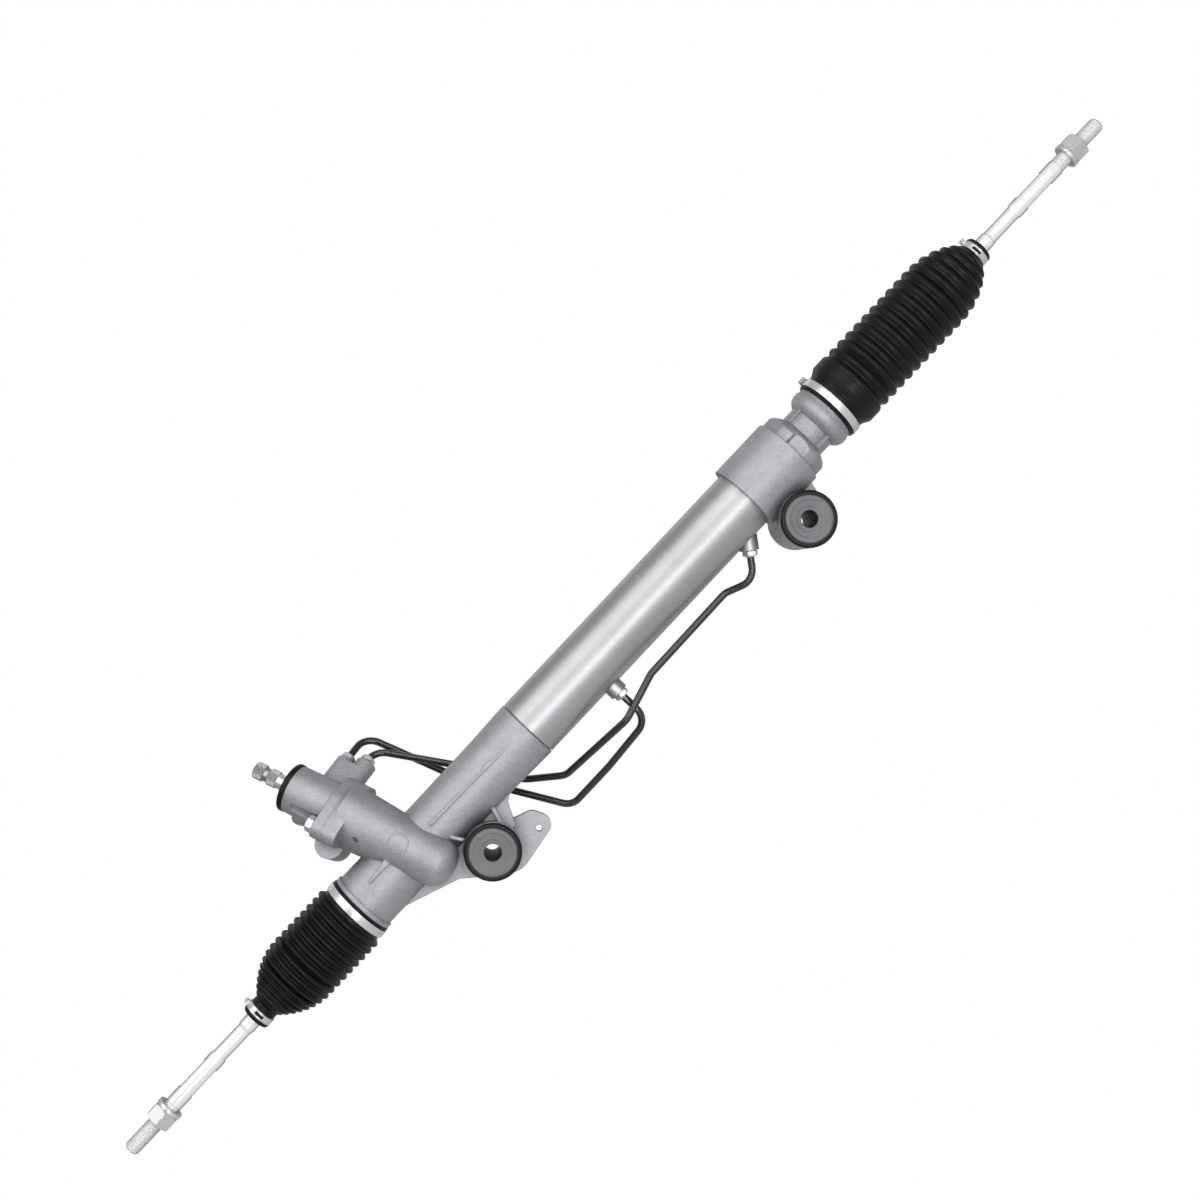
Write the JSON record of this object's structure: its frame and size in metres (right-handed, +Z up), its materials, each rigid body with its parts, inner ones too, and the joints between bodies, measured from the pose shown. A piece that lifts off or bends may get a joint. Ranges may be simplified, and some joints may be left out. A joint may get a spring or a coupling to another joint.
{
  "type": "hydraulic rack and pinion steering gear",
  "caption": "Hydraulic rack and pinion steering gear with cast housings, rotary valve, bellows, transfer pipes, bushed mount eyes and threaded tie rods.",
  "frame": {"origin": "centre of the bore of the mount eye on the pinion side", "axes": "+X along the rack towards the cylinder end, +Z up from the mount eyes to the pinion, +Y away from the side where the mount bushes show their front discs"},
  "size_m": [1.222, 0.1041, 0.2297],
  "materials": {
    "cast_aluminium": "satin",
    "steel_tube": "satin",
    "zinc_steel": "satin",
    "machined_steel": "satin",
    "bearing_steel": "polished",
    "black_pipe": "satin",
    "black_rubber": "matte",
    "seal_rubber": "matte",
    "nylon": "matte",
    "bronze_liner": "satin"
  },
  "bodies": {
    "housing": {"gear_housing": "cast_aluminium", "cylinder_end_housing": "cast_aluminium", "valve_housing": "cast_aluminium", "cylinder_tube": "steel_tube", "end_locking_collar": "cast_aluminium", "valve_bolt_front": "zinc_steel", "valve_bolt_rear": "zinc_steel", "dust_cap": "black_rubber", "input_bearing": "bearing_steel", "input_seal": "seal_rubber", "pinion_lower_bearing": "bearing_steel", "pinion_upper_bearing": "bearing_steel", "rack_guide": "cast_aluminium", "rack_guide_liner": "bronze_liner", "rack_guide_spring": "bearing_steel", "rack_guide_plug": "zinc_steel", "rack_guide_nut": "zinc_steel", "rack_bush_left": "nylon", "rack_bush_right": "nylon", "seal_carrier": "cast_aluminium", "rack_seal_inner": "seal_rubber", "rack_seal_outer": "seal_rubber", "eye_rubber_left": "black_rubber", "eye_rubber_right": "black_rubber", "eye_sleeve_left": "machined_steel", "eye_sleeve_right": "machined_steel", "cylinder_port_a": "steel_tube", "cylinder_port_b": "steel_tube", "transfer_pipe_upper": "black_pipe", "transfer_pipe_lower": "black_pipe", "valve_union_nut_upper": "zinc_steel", "valve_union_nut_lower": "zinc_steel", "cylinder_union_nut_a": "zinc_steel", "cylinder_union_nut_b": "zinc_steel", "bellows_left": "black_rubber", "bellows_right": "black_rubber", "bellows_clamp_left": "zinc_steel", "bellows_clamp_right": "zinc_steel"},
    "rack": {"rack_bar": "machined_steel", "piston": "machined_steel", "piston_ring": "nylon", "ball_socket_left": "machined_steel", "ball_socket_right": "machined_steel"},
    "pinion": {"pinion": "machined_steel", "valve_sleeve": "machined_steel"},
    "input": {"input_shaft": "machined_steel", "torsion_bar": "machined_steel"},
    "seat_left": {"ball_seat_left": "nylon"},
    "seat_right": {"ball_seat_right": "nylon"},
    "tie_rod_left": {"tie_rod_left": "machined_steel", "tie_rod_ball_left": "bearing_steel", "jam_nut_left": "zinc_steel", "small_clip_left": "zinc_steel"},
    "tie_rod_right": {"tie_rod_right": "machined_steel", "tie_rod_ball_right": "bearing_steel", "jam_nut_right": "zinc_steel", "small_clip_right": "zinc_steel"}
  },
  "joints": [
    {"name": "rack_slide", "type": "slide", "parent": "housing", "child": "rack", "axis": [1, 0, 0], "range_m": [-0.102, 0.042], "deforming": ["bellows_left", "bellows_right"]},
    {"name": "pinion_turn", "type": "hinge", "parent": "housing", "child": "pinion", "pos_m": [-0.0466, -0.014, 0.05349], "axis": [-0.2985, 0.2914, 0.9088], "range_deg": [-332.1, 800.81]},
    {"name": "torsion_twist", "type": "hinge", "parent": "pinion", "child": "input", "pos_m": [-0.0466, -0.014, 0.05349], "axis": [-0.2985, 0.2914, 0.9088], "range_deg": [-5, 5], "stiffness_Nm_per_rad": 60},
    {"name": "ball_swing_left", "type": "hinge", "parent": "rack", "child": "seat_left", "pos_m": [-0.1585, 0, 0.049], "axis": [0, 1, 0], "range_deg": [-15, 15], "deforming": ["bellows_left"]},
    {"name": "ball_turn_left", "type": "hinge", "parent": "seat_left", "child": "tie_rod_left", "pos_m": [-0.1585, 0, 0.049], "axis": [0, 0, 1], "range_deg": [-15, 15], "deforming": ["bellows_left"]},
    {"name": "ball_swing_right", "type": "hinge", "parent": "rack", "child": "seat_right", "pos_m": [0.5865, 0, 0.049], "axis": [0, 1, 0], "range_deg": [-15, 15], "deforming": ["bellows_right"]},
    {"name": "ball_turn_right", "type": "hinge", "parent": "seat_right", "child": "tie_rod_right", "pos_m": [0.5865, 0, 0.049], "axis": [0, 0, 1], "range_deg": [-15, 15], "deforming": ["bellows_right"]}
  ],
  "couplings": [
    {"joint": "pinion_turn", "follows": "rack_slide", "rad_per_m": -136.34}
  ]
}
